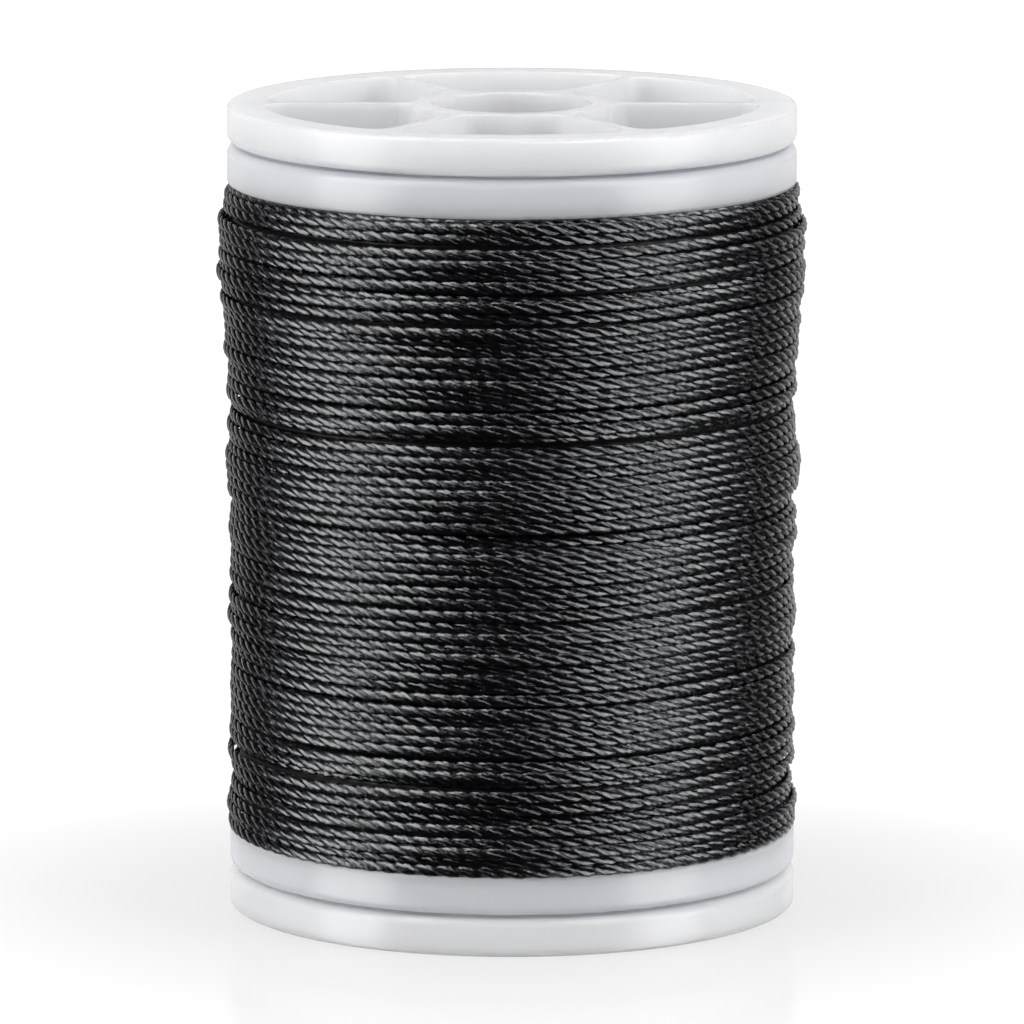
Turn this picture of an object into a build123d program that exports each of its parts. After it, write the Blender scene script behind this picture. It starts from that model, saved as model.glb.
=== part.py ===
from build123d import *
from math import cos, radians, sin
import os

# Spool of waxed hand-sewing thread, in millimetres.
# The spool stands on its lower cap: origin at the middle of the base, +Z up the axis.
# Each end is a snap cap over an inner flange, and the groove between them locks the thread end.

# Thread and its wound package
thread_diameter = 1.0
winding_length = 51.0
package_rise = 0.15       # how far the full package stands past the flanges
package_swell = 0.85      # how far its bulge under the upper flange stands past them
swell_height = 0.90       # share of the winding length at which that bulge is widest

# Inner flanges
flange_radius = 22.25
flange_rim_height = 3.0
flange_rim_width = 2.0
flange_web = 0.8
flange_edge_round = 0.3
groove_lip_round = 0.7    # rounded lips of the thread-lock groove, on flange and cap
collar_length = 5.0

# End caps
cap_rim_height = 2.95
cap_rim_width = 3.0
cap_web = 0.8
cap_edge_round = 0.35
cap_rim_fillet = 0.2      # softened top edges of the rim, ribs and hub
lock_gap = 0.25           # the thread-lock groove, with the cap snapped shut
nest_gap = 0.25           # under the cap's dished floor
nest_clearance = 0.15     # around the cap's dished wall
rib_count = 6
rib_thickness = 0.9
pocket_corner = 1.6

# Spindle bore and the snap-in spigot of each cap
bore_radius = 6.2
hub_wall = 1.52
spigot_length = 10.5
spigot_clearance = 0.08
cap_travel = 2.5
bead_height = 1.2
bead_reach = 0.55
bead_clearance = 0.15
finger_slot_width = 1.4
finger_slot_depth = 5.6
key_clearance = 0.15
key_bore_clearance = 0.35
key_end_gap = 0.3

# Core tube
collar_wall = 0.8
core_seat_wall = 1.2      # wall of the core's ends, inside the flange collars

# Lock notch in the upper flange and the thread end that lies in it
tail_angle = 62.0         # degrees round from +X, at the back
tail_lead = 13.0          # degrees of turn in which the thread climbs to the notch
notch_clearance = 0.1
tail_stand_off = 0.3      # thread to flange rim, where the thread bends towards the notch
tail_end_gap = 0.25

# Worked-out sizes
end_height = flange_rim_height + lock_gap + cap_rim_height
total_height = winding_length + 2 * end_height
winding_bottom = end_height
winding_top = total_height - end_height
thread_radius = thread_diameter / 2
flange_top = winding_top + flange_rim_height
web_top = winding_top + flange_web
cap_underside = total_height - cap_rim_height
dish_bottom = web_top + nest_gap
pocket_floor = dish_bottom + cap_web
pocket_radius = flange_radius - cap_rim_width
flange_recess_radius = flange_radius - flange_rim_width
dish_radius = flange_recess_radius - nest_clearance
spigot_radius = bore_radius + hub_wall
spigot_end = dish_bottom - spigot_length
core_bore = spigot_radius + spigot_clearance
core_seat_radius = core_bore + core_seat_wall
core_radius = core_seat_radius + collar_wall
bead_radius = spigot_radius + bead_reach
bead_bottom = spigot_end + bead_height / 3
bead_top = bead_bottom + bead_height
recess_radius = bead_radius + bead_clearance
notch_floor = flange_top - thread_diameter - 2 * notch_clearance
tail_height = notch_floor + notch_clearance + thread_radius


def turned(points, rounds=()):
    """A solid of revolution from an outline of (radius, height) points; rounds lists (corner, radius)."""
    outline = make_face(Polyline(*[(r, 0, z) for r, z in points], close=True))
    for corner, size in rounds:
        r, z = points[corner]
        nearest = outline.vertices().sort_by_distance((r, 0, z))[0]
        outline = fillet(nearest, size)
    return revolve(outline, Axis.Z)


def at_lower_end(shape):
    """The same piece, turned end for end onto the lower end of the spool."""
    return mirror(shape, Plane.XY.offset(total_height / 2))


def at_mirror(height):
    """The height of the same feature at the other end of the spool."""
    return total_height - height


def drum(radius, low, high):
    """A plain upright cylinder between two heights."""
    return Pos(0, 0, (low + high) / 2) * Cylinder(radius, high - low)


# Core tube: stepped ends carry the flange collars, and a long inner groove at each
# end lets the cap's snap bead travel. Two keys at each end ride in the cap's finger slots.
def core_tube():
    seat_bottom = winding_top - collar_length
    core = drum(core_radius, at_mirror(seat_bottom), seat_bottom)
    core += drum(core_seat_radius, at_mirror(web_top), web_top)
    core -= drum(core_bore, at_mirror(web_top), web_top)
    groove_low = bead_bottom - bead_clearance
    groove_high = bead_top + cap_travel + bead_clearance
    key_top = spigot_end + finger_slot_depth - key_end_gap
    key_inner = bore_radius + key_bore_clearance
    key_outer = (recess_radius + core_seat_radius) / 2
    key = Box(key_outer - key_inner, finger_slot_width - 2 * key_clearance, key_top - spigot_end)
    key = Pos((key_inner + key_outer) / 2, 0, (spigot_end + key_top) / 2) * key
    keys = key + Rot(0, 0, 180) * key
    recess = drum(recess_radius, groove_low, groove_high)
    core -= recess + at_lower_end(recess)
    core += keys + at_lower_end(keys)
    return core


# Inner flange: a thin web with a deep rim round it, and a collar that presses onto the core.
def inner_flange():
    outline = [
        (core_seat_radius, web_top),
        (core_seat_radius, winding_top - collar_length),
        (core_radius, winding_top - collar_length),
        (core_radius, winding_top),
        (flange_radius, winding_top),
        (flange_radius, flange_top),
        (flange_recess_radius, flange_top),
        (flange_recess_radius, web_top),
    ]
    return turned(outline, [(4, flange_edge_round), (5, groove_lip_round)])


# Lock notch: a channel across the upper flange's rim, open to the groove above it.
def lock_notch():
    width = thread_diameter + 2 * notch_clearance
    reach = 2 * flange_rim_width
    notch = Box(reach, width, 2 * (flange_top - notch_floor))
    return Rot(0, 0, tail_angle) * Pos(flange_recess_radius + reach / 4, 0, flange_top) * notch


# End cap: a wide rim, a hub round the spindle bore and thin ribs between them, over a dished
# floor that nests in the flange. The hub runs on down as a spigot with four snap fingers.
def end_cap():
    outline = [
        (bore_radius, total_height),
        (flange_radius, total_height),
        (flange_radius, cap_underside),
        (dish_radius, cap_underside),
        (dish_radius, dish_bottom),
        (spigot_radius, dish_bottom),
        (spigot_radius, bead_top),
        (bead_radius, bead_top - bead_reach),
        (bead_radius, bead_bottom + bead_height / 4),
        (spigot_radius, bead_bottom),
        (spigot_radius, spigot_end),
        (bore_radius, spigot_end),
    ]
    cap = turned(outline, [(1, cap_edge_round), (2, groove_lip_round)])
    pockets = Circle(pocket_radius) - Circle(spigot_radius)
    for rib in range(rib_count):
        middle = Pos(pocket_radius / 2, 0) * Rectangle(pocket_radius, rib_thickness)
        pockets -= Rot(0, 0, rib * 360 / rib_count) * middle
    pockets = fillet(pockets.vertices(), pocket_corner)
    for pocket in pockets.faces():
        cap -= extrude(Pos(0, 0, pocket_floor) * pocket, total_height - pocket_floor)
    rims = cap.edges().filter_by(lambda edge: abs(edge.bounding_box().min.Z - total_height) < 1e-4)
    rims = rims.filter_by(lambda edge: edge.bounding_box().max.X < flange_radius - cap_edge_round - 0.01)
    cap = fillet(rims, cap_rim_fillet)
    slot_high = spigot_end + finger_slot_depth
    slot = Box(2 * core_radius, finger_slot_width, 2 * finger_slot_depth)
    for turn in (0, 90):
        cap -= Rot(0, 0, turn) * Pos(0, 0, slot_high - finger_slot_depth) * slot
    return cap


# Wound package: the outline is straight over most of its length and bulges near the top.
def package(outset):
    """The package as a solid, with its outside moved out by outset."""
    heights = [0, 0.35, 0.70, swell_height, 1]
    rises = [0, package_rise, package_rise, package_swell, package_rise]
    edge = [
        (flange_radius + rise + outset, 0, winding_bottom + share * winding_length)
        for share, rise in zip(heights, rises)
    ]
    side = Spline(*edge)
    inner_low = Vector(core_radius, 0, winding_bottom)
    inner_high = Vector(core_radius, 0, winding_top)
    rest = Polyline(side @ 1, inner_high, inner_low, side @ 0)
    return revolve(make_face([side, rest]), Axis.Z)


# Thread end: it leaves the last turn, climbs the flange's rim and turns in through the notch.
def round_axis(radius, degrees, height):
    """The point at this radius and height, turned about the axis from the notch."""
    turn = radians(tail_angle + degrees)
    return Vector(radius * cos(turn), radius * sin(turn), height)


def thread_end():
    leaves = flange_radius + package_rise
    outside = flange_radius + thread_radius + tail_stand_off
    route = [
        round_axis(leaves, -tail_lead, winding_top - 0.55 * thread_diameter),
        round_axis(outside, -tail_lead / 3, winding_top - 0.3 * thread_diameter),
        round_axis(outside, 0, tail_height),
        round_axis(flange_recess_radius + tail_end_gap, 0, tail_height),
    ]
    path = FilletPolyline(*route, radius=[2 * thread_diameter, 1.05 * thread_diameter])
    section = Plane(path @ 0, z_dir=path % 0) * Circle(thread_radius)
    return sweep(section, path)


os.makedirs("parts", exist_ok=True)
flange = inner_flange()
cap = end_cap()
inner_layers = package(-thread_diameter)
nodes = {
    "core_tube": core_tube(),
    "upper_inner_flange": flange - lock_notch(),
    "lower_inner_flange": at_lower_end(flange),
    "upper_end_cap": cap,
    "lower_end_cap": at_lower_end(cap),
    "thread_inner_layers": inner_layers,
    "thread_outer_layer": package(0) - inner_layers,
    "thread_end": thread_end(),
}
for name, shape in nodes.items():
    shape.label = name
    export_step(shape, f"parts/{name}.step")
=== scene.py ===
from math import cos, pi, radians, sin

import bpy
import numpy as np
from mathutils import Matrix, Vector


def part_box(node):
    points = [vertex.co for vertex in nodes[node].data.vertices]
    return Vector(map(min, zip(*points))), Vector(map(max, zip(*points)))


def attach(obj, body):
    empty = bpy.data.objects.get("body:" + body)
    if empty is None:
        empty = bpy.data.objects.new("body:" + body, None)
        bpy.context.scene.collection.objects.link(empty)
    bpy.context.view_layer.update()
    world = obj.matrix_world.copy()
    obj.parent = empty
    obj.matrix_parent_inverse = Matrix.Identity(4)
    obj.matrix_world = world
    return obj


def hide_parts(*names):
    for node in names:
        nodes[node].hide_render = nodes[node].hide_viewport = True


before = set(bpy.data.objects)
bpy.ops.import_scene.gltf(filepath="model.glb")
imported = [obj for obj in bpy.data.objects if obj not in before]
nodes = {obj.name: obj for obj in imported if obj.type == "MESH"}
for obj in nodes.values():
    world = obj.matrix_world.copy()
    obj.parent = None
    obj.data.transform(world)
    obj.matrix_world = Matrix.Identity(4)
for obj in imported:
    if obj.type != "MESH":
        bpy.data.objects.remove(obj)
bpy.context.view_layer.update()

# The view: the spool stands on a pale floor and is seen from the front, a little above
# its middle, through a long lens that keeps its sides upright.
view_distance = 0.7705
view_elevation = radians(9.66)
view_height = 0.03097
view_lens = 344.8

view_point = Vector((0, 0, view_height))
view_way = Vector((0, -cos(view_elevation), sin(view_elevation)))
camera = bpy.data.objects.new("view", bpy.data.cameras.new("view"))
camera.data.lens = view_lens
camera.data.sensor_width = 36
camera.data.clip_start = 0.01
camera.data.clip_end = 20
camera.location = view_point + view_distance * view_way
camera.rotation_euler = (pi / 2 - view_elevation, 0, 0)
bpy.context.scene.collection.objects.link(camera)
bpy.context.scene.camera = camera
bpy.context.scene.view_settings.view_transform = "Standard"


# The studio lights: a tall softbox on each side and a weak one overhead. They leave the
# middle of the spool dark and draw one bright band down each side of it.
def softbox(name, turn, elevation, distance, width, height, watts):
    """An area light aimed at the middle of the view. Its turn, round from the viewer to the right, and
    its elevation are in degrees."""
    light = bpy.data.lights.new(name, "AREA")
    light.shape = "RECTANGLE"
    light.size = width
    light.size_y = height
    light.energy = watts
    level = radians(elevation)
    way = Vector((sin(radians(turn)) * cos(level), -cos(radians(turn)) * cos(level), sin(level)))
    lamp = bpy.data.objects.new(name, light)
    lamp.location = view_point + distance * way
    lamp.rotation_euler = way.to_track_quat("Z", "Y").to_euler()
    bpy.context.scene.collection.objects.link(lamp)


softbox("left_softbox", turn=-67, elevation=15, distance=0.6, width=0.4, height=1.8, watts=9.9)
softbox("right_softbox", turn=63, elevation=15, distance=0.6, width=0.4, height=1.8, watts=9.7)
softbox("top_softbox", turn=0, elevation=75, distance=0.7, width=0.6, height=0.12, watts=0.85)


# The room: it looks white all round. The light it gives comes from the wall behind the
# spool, and the side towards the viewer is almost dark.
def studio_walls():
    """A world that is white to the camera, and otherwise brightens smoothly from front to back."""
    world = bpy.data.worlds.new("studio")
    world.use_nodes = True
    tree = world.node_tree
    tree.nodes.clear()
    out = tree.nodes.new("ShaderNodeOutputWorld")
    mix = tree.nodes.new("ShaderNodeMixShader")
    seen = tree.nodes.new("ShaderNodeBackground")
    seen.inputs["Color"].default_value = (1, 1, 1, 1)
    seen.inputs["Strength"].default_value = 1.0
    light = tree.nodes.new("ShaderNodeBackground")
    light.inputs["Color"].default_value = (1, 1, 1, 1)
    path = tree.nodes.new("ShaderNodeLightPath")
    place = tree.nodes.new("ShaderNodeTexCoord")
    split = tree.nodes.new("ShaderNodeSeparateXYZ")
    ramp = tree.nodes.new("ShaderNodeMapRange")
    ramp.interpolation_type = "SMOOTHSTEP"
    ramp.inputs["From Min"].default_value = 0.5
    ramp.inputs["From Max"].default_value = 0.95
    ramp.inputs["To Min"].default_value = 0.015
    ramp.inputs["To Max"].default_value = 0.8
    tree.links.new(place.outputs["Generated"], split.inputs[0])
    tree.links.new(split.outputs["Y"], ramp.inputs["Value"])
    tree.links.new(ramp.outputs["Result"], light.inputs["Strength"])
    tree.links.new(path.outputs["Is Camera Ray"], mix.inputs["Fac"])
    tree.links.new(light.outputs[0], mix.inputs[1])
    tree.links.new(seen.outputs[0], mix.inputs[2])
    tree.links.new(mix.outputs[0], out.inputs["Surface"])
    return world


bpy.context.scene.world = studio_walls()

# The floor: one large pale sheet under the spool. Its glow is painted light that stands for the light it
# would get from all round, and it is weaker near the spool as a painted shadow, where the spool would
# keep that light off it.
floor_reach = 3.0
floor_drop = 0.00002      # a hair below the spool's base, so that they don't share a plane
shade_inside = 0.022      # radii between which the painted shadow fades out and the glow rises from weak to full
shade_outside = 0.06


def painted(name, color):
    """A new material and its Principled shader, with its base colour set."""
    material = bpy.data.materials.new(name)
    material.use_nodes = True
    shader = material.node_tree.nodes["Principled BSDF"]
    shader.inputs["Base Color"].default_value = (*color, 1)
    return material, shader


def pale_floor():
    """Pale glowing paint, weaker towards the middle of the floor as a painted shadow of the spool, and
    clear when seen from below.
    """
    material, shader = painted("pale_floor", (0.1, 0.1, 0.1))
    shader.inputs["Roughness"].default_value = 0.15
    shader.inputs["Specular IOR Level"].default_value = 0.02
    shader.inputs["Emission Color"].default_value = (1, 1, 1, 1)
    tree = material.node_tree
    place = tree.nodes.new("ShaderNodeTexCoord")
    distance = tree.nodes.new("ShaderNodeVectorMath")
    distance.operation = "LENGTH"
    glow = tree.nodes.new("ShaderNodeMapRange")
    glow.inputs["From Min"].default_value = shade_inside
    glow.inputs["From Max"].default_value = shade_outside
    glow.inputs["To Min"].default_value = 0.66
    glow.inputs["To Max"].default_value = 0.9
    side = tree.nodes.new("ShaderNodeNewGeometry")
    clear = tree.nodes.new("ShaderNodeBsdfTransparent")
    mix = tree.nodes.new("ShaderNodeMixShader")
    tree.links.new(place.outputs["Object"], distance.inputs[0])
    tree.links.new(distance.outputs["Value"], glow.inputs["Value"])
    tree.links.new(glow.outputs["Result"], shader.inputs["Emission Strength"])
    tree.links.new(side.outputs["Backfacing"], mix.inputs["Fac"])
    tree.links.new(shader.outputs["BSDF"], mix.inputs[1])
    tree.links.new(clear.outputs["BSDF"], mix.inputs[2])
    tree.links.new(mix.outputs["Shader"], tree.nodes["Material Output"].inputs["Surface"])
    return material


floor_mesh = bpy.data.meshes.new("floor")
corners = [(-1, -1), (1, -1), (1, 1), (-1, 1)]
floor_points = [(x * floor_reach, y * floor_reach, -floor_drop) for x, y in corners]
floor_mesh.from_pydata(floor_points, [], [(0, 1, 2, 3)])
floor_mesh.materials.append(pale_floor())
floor = bpy.data.objects.new("floor", floor_mesh)
bpy.context.scene.collection.objects.link(floor)
floor.visible_glossy = False
floor.visible_diffuse = False
floor.visible_shadow = False


# Core tube and inner flanges: one natural polypropylene moulding each, milky and faintly
# blue; their colour is darker and bluer than the caps' as painted shade of the black thread seen
# through them. The flanges are pressed onto the core's stepped ends and stay there.
def milky_plastic(name, color):
    """Milky plastic: light spreads through it and comes out soft; a fine uneven skin breaks its gloss."""
    material, shader = painted(name, color)
    shader.inputs["Subsurface Weight"].default_value = 1.0
    shader.inputs["Subsurface Radius"].default_value = (1.0, 1.0, 1.0)
    shader.inputs["Subsurface Scale"].default_value = 0.0042
    shader.inputs["IOR"].default_value = 1.49
    shader.inputs["Specular IOR Level"].default_value = 0.4
    shader.inputs["Transmission Weight"].default_value = 0.3
    tree = material.node_tree
    place = tree.nodes.new("ShaderNodeTexCoord")
    uneven = tree.nodes.new("ShaderNodeTexNoise")
    uneven.inputs["Scale"].default_value = 260
    uneven.inputs["Detail"].default_value = 3
    gloss = tree.nodes.new("ShaderNodeMapRange")
    gloss.inputs["To Min"].default_value = 0.19
    gloss.inputs["To Max"].default_value = 0.265
    skin = tree.nodes.new("ShaderNodeBump")
    skin.inputs["Distance"].default_value = 0.00004
    skin.inputs["Strength"].default_value = 0.25
    tree.links.new(place.outputs["Object"], uneven.inputs["Vector"])
    tree.links.new(uneven.outputs["Fac"], gloss.inputs["Value"])
    tree.links.new(gloss.outputs["Result"], shader.inputs["Roughness"])
    tree.links.new(uneven.outputs["Fac"], skin.inputs["Height"])
    tree.links.new(skin.outputs["Normal"], shader.inputs["Normal"])
    return material


def make_of(material, *names):
    """Gives these pieces of the frame this one material."""
    for name in names:
        nodes[name].data.materials.clear()
        nodes[name].data.materials.append(material)


# Faintly blue like the caps, and darker and bluer than them as painted shade of the black thread behind
# the thin plastic.
thread_shaded_plastic = milky_plastic("bluish_polypropylene_with_painted_shade", (0.805, 0.825, 0.935))
make_of(thread_shaded_plastic, "core_tube", "upper_inner_flange", "lower_inner_flange")

# The thread: three waxed black plies laid up in a right-handed twist, wound in one close
# layer of turns over the layers below. It is under tension, so a turn that finds no room
# beside its neighbour rides up between it and the next.
thread_diameter = 0.001
thread_radius = thread_diameter / 2
turn_count = 61
points_per_turn = 24
curve_steps = 10
least_spacing = 0.8 * thread_diameter
end_gap = 0.42 * thread_diameter
press = 0.5               # share of its thickness that a turn keeps, pressed against the spool

winding_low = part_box("thread_outer_layer")[0].z
winding_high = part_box("thread_outer_layer")[1].z
flange_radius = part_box("upper_inner_flange")[1].x
notch_angle = radians(62)
tail_lead = radians(13)


def bell(share, middle, width):
    """A bell curve of height one at the middle, falling to about a third at the width."""
    return np.exp(-(((share - middle) / width) ** 2))


def package_radius(height, angle):
    """Radius of the full package at a height: the flanges' radius and a slight rise, with a bulge nine
    tenths of the way up, a shoulder under it, a ridge above the middle that is higher on the right, and
    a low one at the bottom."""
    share = (height - winding_low) / (winding_high - winding_low)
    rise = 0.00013 + 0.00004 * np.sin(share * 19)
    rise = rise + 0.0008 * bell(share, 0.90, 0.085) + 0.0003 * bell(share, 0.79, 0.07)
    rise = rise + 0.0004 * (1 + 0.4 * np.cos(angle)) * bell(share, 0.574, 0.03)
    return flange_radius + rise + 0.00018 * bell(share, 0.04, 0.03)


def drift(count, per_turn, size, random):
    """Slow random wander along the thread: per_turn random values to a turn, each of about this size,
    joined smoothly."""
    knot_count = int(count / points_per_turn * per_turn) + 4
    place = np.linspace(0, knot_count - 1.001, count)
    knot = place.astype(int)
    share = place - knot
    share = share * share * (3 - 2 * share)
    values = random.normal(0, size, knot_count + 1)
    return values[knot] * (1 - share) + values[knot + 1] * share


def wound_turns():
    """Control points of the wound layer. Each starts on an even helix with a slow wander, level for the
    first and last turn, which lie against the flanges. Then turns that are closer than a thread push each
    other apart, while tension pulls every turn back to the package and stiffness evens it out. The first
    points dive out of sight."""
    settling_rounds = 60
    push_apart = 0.25     # share of the missing room that a turn gives way by
    push_along = 0.4      # a push along the spool, beside one in or out
    tension = 0.04        # share of the way back to the package, each round
    kept_lift = 0.5       # share of the wander in radius that tension leaves
    even_radius = 0.1     # share of a kink that stiffness takes out, each round
    even_height = 0.05
    free_turns = 3        # turns over which the wander in height grows, at each end
    level_turns = 0.8     # turns that lie level, at each end
    start_depth = 0.001
    start_points = 2.5
    random = np.random.default_rng(7)
    count = turn_count * points_per_turn + 1
    step = np.arange(count)
    angle = notch_angle - tail_lead + 2 * pi * (step - count) / points_per_turn
    low = winding_low + end_gap
    high = winding_high - end_gap
    pitch = (high - low) / turn_count
    height = np.clip(np.linspace(low - level_turns * pitch, high + level_turns * pitch, count), low, high)
    free = np.clip(np.minimum(step, count - step) / (free_turns * points_per_turn), 0, 1)
    height = height + free * (drift(count, 0.8, 0.0002, random) + drift(count, 3, 0.00008, random))
    lift = drift(count, 1.5, 0.0003, random) + drift(count, 5, 0.0001, random)
    radius = package_radius(height, angle) - press * thread_radius + lift
    for _ in range(settling_rounds):
        for apart in (points_per_turn, 2 * points_per_turn):
            dr = radius[apart:] - radius[:-apart]
            dz = height[apart:] - height[:-apart]
            gap = np.maximum(np.hypot(dr / press, dz), 1e-6)
            push = np.maximum(least_spacing - gap, 0) / gap * push_apart
            radius[apart:] += dr * push
            radius[:-apart] -= dr * push
            height[apart:] += push_along * dz * push
            height[:-apart] -= push_along * dz * push
        rest_radius = package_radius(height, angle) - press * thread_radius + kept_lift * lift
        radius += tension * (rest_radius - radius)
        radius[1:-1] += even_radius * (radius[:-2] + radius[2:] - 2 * radius[1:-1])
        height[1:-1] += even_height * (height[:-2] + height[2:] - 2 * height[1:-1])
        height = np.clip(height, low, high)
    radius -= start_depth * np.exp(-((step / start_points) ** 2))
    return np.stack([radius * np.cos(angle), radius * np.sin(angle), height], axis=1)


# The thread's end: it leaves the last turn, climbs the upper flange's rim, bends round it
# and lies in the lock notch, held there by the cap.
notch_gap = 0.0003        # thread to flange rim, where the thread bends towards the notch
package_edge = 0.00015    # how far the package's top edge stands past the flange
rim_width = 0.002
tail_end_gap = 0.00025


def at_notch(radius, turn, height):
    """A point at this radius and height, turned back from the lock notch by this angle."""
    return (radius * cos(notch_angle - turn), radius * sin(notch_angle - turn), height)


tail_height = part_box("thread_end")[1].z - thread_radius
outside = flange_radius + thread_radius + notch_gap
tail_points = [
    at_notch(flange_radius + package_edge, tail_lead, winding_high - 0.55 * thread_diameter),
    at_notch(outside, tail_lead / 3, winding_high - 0.3 * thread_diameter),
    at_notch(outside, 0, tail_height),
    at_notch(flange_radius - rim_width + tail_end_gap, 0, tail_height),
]
route = np.concatenate([wound_turns(), np.array(tail_points)])


def thread_line(points):
    """The thread's centreline: the points of a smooth NURBS curve through its turns and its end."""
    curve = bpy.data.curves.new("thread_line", "CURVE")
    curve.dimensions = "3D"
    spline = curve.splines.new("NURBS")
    spline.points.add(len(points) - 1)
    spline.points.foreach_set("co", np.c_[points, np.ones(len(points))].ravel())
    spline.order_u = 3
    spline.use_endpoint_u = True
    spline.resolution_u = curve_steps
    holder = bpy.data.objects.new("thread_line", curve)
    mesh = bpy.data.meshes.new_from_object(holder)
    line = np.zeros(len(mesh.vertices) * 3)
    mesh.vertices.foreach_get("co", line)
    bpy.data.meshes.remove(mesh)
    bpy.data.objects.remove(holder)
    bpy.data.curves.remove(curve)
    return line.reshape(-1, 3)


centreline = thread_line(route)

# The plies: three strands of polyester filament, twisted together and drawn through black
# wax. They touch along the thread's middle, and each goes round once in five millimetres.
ply_count = 3
ply_sides = 6
ply_radius = 0.26 * thread_diameter
ply_offset = 0.27 * thread_diameter
lay_length = 0.005


def unit(vectors):
    """Vectors scaled to length one."""
    return vectors / np.linalg.norm(vectors, axis=1)[:, None]


def ply_surface(line, start):
    """One ply as rings of points: its middle circles the thread's centreline once for each length of lay,
    which tightens and slackens a little in two slow waves, and each ring is a circle square to the ply's
    own direction. The whole thread is then pressed flatter towards the spool by a constant share. Returns
    the rings and the length so far."""
    way = unit(np.gradient(line, axis=0))
    out = unit(np.cross(way, [0, 0, 1]))
    side = np.cross(way, out)
    along = np.concatenate([[0], np.cumsum(np.linalg.norm(np.diff(line, axis=0), axis=1))])
    turn = 2 * pi * along / lay_length + 0.5 * np.sin(along * 41) + 0.4 * np.sin(along * 97) + start
    reach = np.cos(turn)[:, None] * out + np.sin(turn)[:, None] * side
    middle = line + ply_offset * reach
    ply_way = unit(np.gradient(middle, axis=0))
    across = unit(np.cross(ply_way, reach))
    outward = np.cross(across, ply_way)
    round_it = pi + np.arange(ply_sides) * 2 * pi / ply_sides
    ring = np.cos(round_it)[None, :, None] * outward[:, None, :]
    ring = ring + np.sin(round_it)[None, :, None] * across[:, None, :]
    from_line = middle[:, None, :] + ply_radius * ring - line[:, None, :]
    rise = np.sum(from_line * out[:, None, :], axis=2, keepdims=True)
    return line[:, None, :] + from_line - (1 - press) * rise * out[:, None, :], along


def tube_mesh(name, rings, along):
    """A closed tube over rings of points, with each end closed by one face. Its UV map runs along the
    tube in metres and once round it, so a ring's last side ends at one and not back at nought."""
    count, sides, _ = rings.shape
    ring_start = np.arange(count - 1)[:, None] * sides
    corner = np.arange(sides)[None, :]
    next_corner = (corner + 1) % sides
    near = [ring_start + corner, ring_start + next_corner]
    far = [ring_start + sides + next_corner, ring_start + sides + corner]
    quads = np.stack(near + far, axis=2).reshape(-1, 4)
    first = np.arange(sides)[::-1]
    last = (count - 1) * sides + np.arange(sides)
    loops = np.concatenate([quads.ravel(), first, last])
    starts = np.concatenate([np.arange(len(quads)) * 4, len(quads) * 4 + np.array([0, sides])])
    mesh = bpy.data.meshes.new(name)
    mesh.vertices.add(count * sides)
    mesh.vertices.foreach_set("co", rings.ravel())
    mesh.loops.add(len(loops))
    mesh.loops.foreach_set("vertex_index", loops)
    mesh.polygons.add(len(starts))
    mesh.polygons.foreach_set("loop_start", starts)
    mesh.update(calc_edges=True)
    u = np.repeat(along, sides)[loops]
    v = (loops % sides) / sides
    is_next_corner = np.tile([False, True, True, False], len(quads))
    quad_v = v[:len(is_next_corner)]
    quad_v[is_next_corner & (quad_v == 0)] = 1.0
    layer = mesh.uv_layers.new(name="along_and_round")
    layer.data.foreach_set("uv", np.stack([u, v], axis=1).ravel())
    mesh.polygons.foreach_set("use_smooth", np.ones(len(starts), bool))
    mesh.validate()
    return mesh


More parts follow.
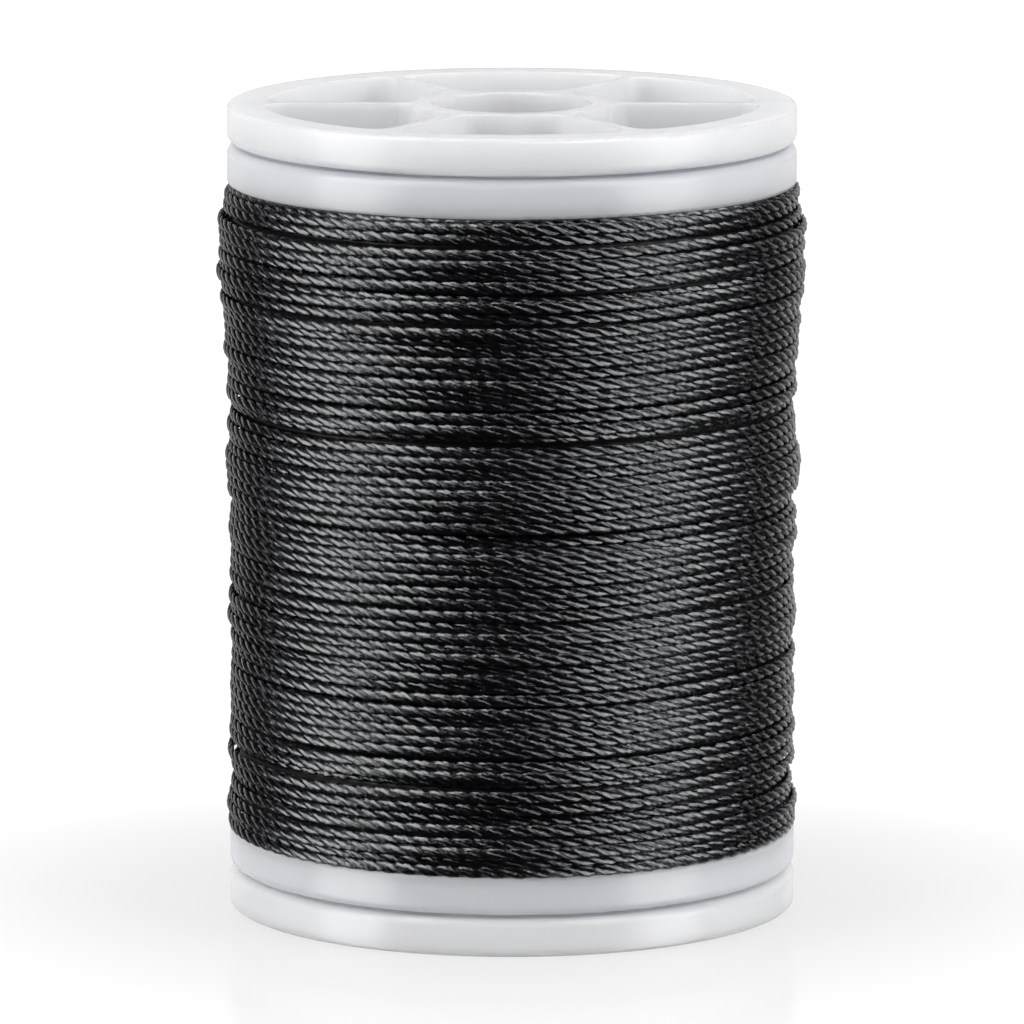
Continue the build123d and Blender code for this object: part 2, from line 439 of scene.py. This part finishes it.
def waxed_thread():
    """Black waxed polyester: near black, with long fine filaments along each ply and wax that is
    glossier in some places than in others."""
    material, shader = painted("waxed_black_thread", (0.001, 0.001, 0.0012))
    shader.inputs["Specular IOR Level"].default_value = 1.0
    shader.inputs["Specular Tint"].default_value = (0.92, 0.96, 1, 1)
    shader.inputs["Coat Weight"].default_value = 0.4
    shader.inputs["Coat Roughness"].default_value = 0.16
    tree = material.node_tree
    place = tree.nodes.new("ShaderNodeUVMap")
    place.uv_map = "along_and_round"
    stretch = tree.nodes.new("ShaderNodeMapping")
    stretch.inputs["Scale"].default_value = (500, 9, 1)
    filaments = tree.nodes.new("ShaderNodeTexNoise")
    filaments.inputs["Scale"].default_value = 1.0
    filaments.inputs["Detail"].default_value = 3
    bump = tree.nodes.new("ShaderNodeBump")
    bump.inputs["Distance"].default_value = 0.00012
    bump.inputs["Strength"].default_value = 0.8
    patches = tree.nodes.new("ShaderNodeTexNoise")
    patches.inputs["Scale"].default_value = 900
    patches.inputs["Detail"].default_value = 2
    spot = tree.nodes.new("ShaderNodeTexCoord")
    gloss = tree.nodes.new("ShaderNodeMapRange")
    gloss.inputs["To Min"].default_value = 0.12
    gloss.inputs["To Max"].default_value = 0.26
    tree.links.new(place.outputs["UV"], stretch.inputs["Vector"])
    tree.links.new(stretch.outputs["Vector"], filaments.inputs["Vector"])
    tree.links.new(filaments.outputs["Fac"], bump.inputs["Height"])
    tree.links.new(bump.outputs["Normal"], shader.inputs["Normal"])
    tree.links.new(bump.outputs["Normal"], shader.inputs["Coat Normal"])
    tree.links.new(spot.outputs["Object"], patches.inputs["Vector"])
    tree.links.new(patches.outputs["Fac"], gloss.inputs["Value"])
    tree.links.new(gloss.outputs["Result"], shader.inputs["Roughness"])
    return material


thread_wax = waxed_thread()
for number in range(ply_count):
    rings, along = ply_surface(centreline, 2 * pi * number / ply_count)
    name = f"thread_ply_{number + 1}"
    ply = bpy.data.objects.new(name, tube_mesh(name, rings, along))
    bpy.context.scene.collection.objects.link(ply)
    ply.data.materials.append(thread_wax)
    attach(ply, "spool")
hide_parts("thread_outer_layer", "thread_end")


# The layers under it: the same thread, wound on the core in close level turns. It is seen
# only as dark lines where two turns of the outer layer part.
def buried_thread():
    """Black waxed thread in close level turns: a wave up the package, one ridge for each turn."""
    ridge_scale = 0.314 / thread_diameter
    material, shader = painted("buried_black_thread", (0.001, 0.001, 0.0012))
    shader.inputs["Roughness"].default_value = 0.5
    tree = material.node_tree
    place = tree.nodes.new("ShaderNodeTexCoord")
    ridges = tree.nodes.new("ShaderNodeTexWave")
    ridges.bands_direction = "Z"
    ridges.inputs["Scale"].default_value = ridge_scale
    ridges.inputs["Distortion"].default_value = 0.6
    bump = tree.nodes.new("ShaderNodeBump")
    bump.inputs["Distance"].default_value = 0.0003
    tree.links.new(place.outputs["Object"], ridges.inputs["Vector"])
    tree.links.new(ridges.outputs["Fac"], bump.inputs["Height"])
    tree.links.new(bump.outputs["Normal"], shader.inputs["Normal"])
    return material


make_of(buried_thread(), "thread_inner_layers")

# End caps: the same plastic as the flanges but without the painted shade of the thread, so paler
# and less blue, moulded with six ribs over a dished floor. Each snaps into the core by four fingers
# and can be pulled out a little.
cap_plastic = milky_plastic("natural_polypropylene", (0.85, 0.858, 0.883))
make_of(cap_plastic, "upper_end_cap", "lower_end_cap")
